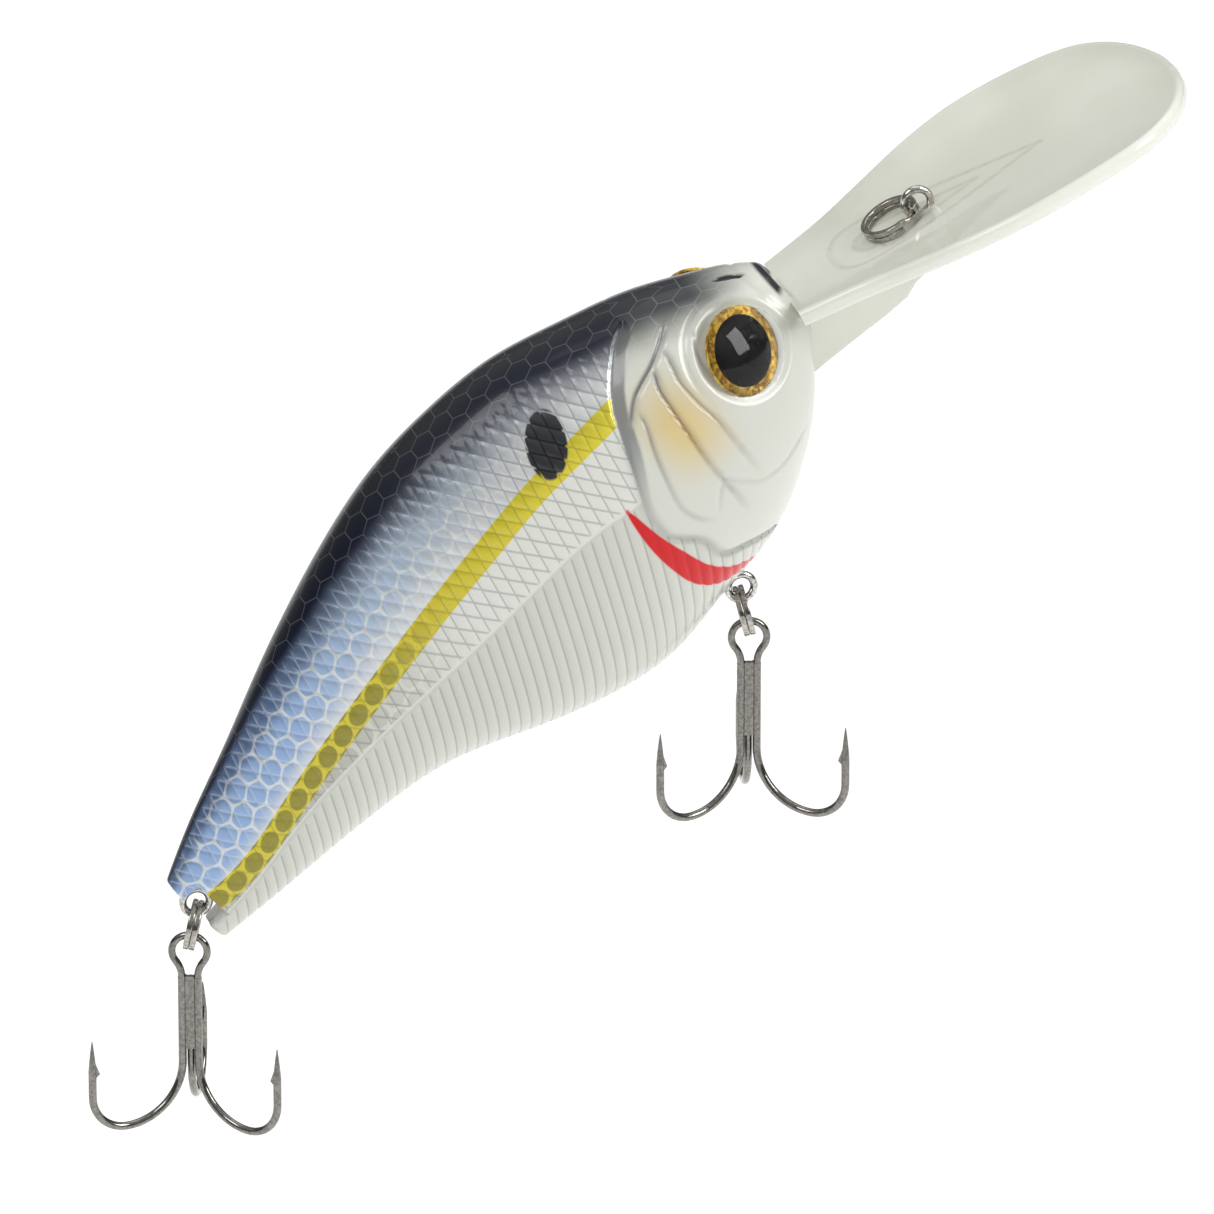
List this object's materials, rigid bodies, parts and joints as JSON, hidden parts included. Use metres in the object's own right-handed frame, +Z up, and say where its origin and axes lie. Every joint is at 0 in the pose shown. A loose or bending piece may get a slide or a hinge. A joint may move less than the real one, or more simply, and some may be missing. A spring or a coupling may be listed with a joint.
{
  "type": "crankbait lure",
  "caption": "Deep-diving fishing lure: hollow two-shell body with a long clear lip, a line tie with a split ring, treble hooks on split rings, eyes, and weights and rattles inside.",
  "frame": {"origin": "centre of the split ring on the line tie, where the line or snap is fastened", "axes": "+X level, the way the nose points; +Y to the lure's left side; +Z up. The XZ plane is the lure's plane of symmetry, the body is pitched 42 degrees nose-up and the hooks hang straight down"},
  "size_m": [0.116, 0.0306, 0.107],
  "materials": {
    "body_plastic": "moulded scale pattern, painted dark back, yellow side stripe and pearl belly under clear gloss coat",
    "lip_plastic": "clear, slightly milky polycarbonate",
    "steel_wire": "bright stainless wire",
    "ring_steel": "bright stainless flat wire",
    "hook_steel": "black nickel plate",
    "braze": "plated braze, slightly rough",
    "gold_foil": "gold foil",
    "pupil_black": "black print",
    "lens_clear": "clear domed resin",
    "weight_metal": "cast weight",
    "ball_steel": "polished steel ball"
  },
  "bodies": {
    "lure_body": {"body_shell_right": "body_plastic", "body_shell_left": "body_plastic", "diving_lip": "lip_plastic", "line_tie_wire": "steel_wire", "belly_hanger": "steel_wire", "tail_hanger": "steel_wire", "right_eye_foil": "gold_foil", "right_eye_pupil": "pupil_black", "right_eye_lens": "lens_clear", "left_eye_foil": "gold_foil", "left_eye_pupil": "pupil_black", "left_eye_lens": "lens_clear", "belly_ballast": "weight_metal", "nose_weight": "weight_metal"},
    "line_ring": {"line_ring": "ring_steel"},
    "belly_ring": {"belly_split_ring": "ring_steel"},
    "belly_hook": {"belly_hook_double": "hook_steel", "belly_hook_single": "hook_steel", "belly_hook_braze": "braze"},
    "tail_ring": {"tail_split_ring": "ring_steel"},
    "tail_hook": {"tail_hook_double": "hook_steel", "tail_hook_single": "hook_steel", "tail_hook_braze": "braze"},
    "rear_rattle": {"rear_rattle_ball": "ball_steel"},
    "front_rattle": {"front_rattle_ball": "ball_steel"}
  },
  "joints": [
    {"name": "line_ring_swing", "type": "hinge", "parent": "lure_body", "child": "line_ring", "pos_m": [0.0028, 0, 0.00161], "axis": [0, 1, 0], "range_deg": [0, 175]},
    {"name": "belly_ring_swing", "type": "hinge", "parent": "lure_body", "child": "belly_ring", "pos_m": [-0.01569, 0, -0.04063], "axis": [0.9611, -0.1419, 0.2368], "range_deg": [-45, 45]},
    {"name": "belly_hook_swing", "type": "hinge", "parent": "belly_ring", "child": "belly_hook", "pos_m": [-0.01482, -0.00013, -0.04422], "axis": [0.1461, 0.9893, 0], "range_deg": [-75, 15]},
    {"name": "tail_ring_swing", "type": "hinge", "parent": "lure_body", "child": "tail_ring", "pos_m": [-0.07351, 0, -0.06955], "axis": [0.9228, -0.3286, -0.2011], "range_deg": [-45, 45]},
    {"name": "tail_hook_swing", "type": "hinge", "parent": "tail_ring", "child": "tail_hook", "pos_m": [-0.07421, 0.00025, -0.07317], "axis": [0.3355, 0.9421, 0], "range_deg": [-40, 75]},
    {"name": "rear_rattle_slide", "type": "slide", "parent": "lure_body", "child": "rear_rattle", "axis": [0.7431, 0, 0.6691], "range_m": [0, 0.0117]},
    {"name": "front_rattle_slide", "type": "slide", "parent": "lure_body", "child": "front_rattle", "axis": [0.7431, 0, 0.6691], "range_m": [0, 0.0054]}
  ]
}
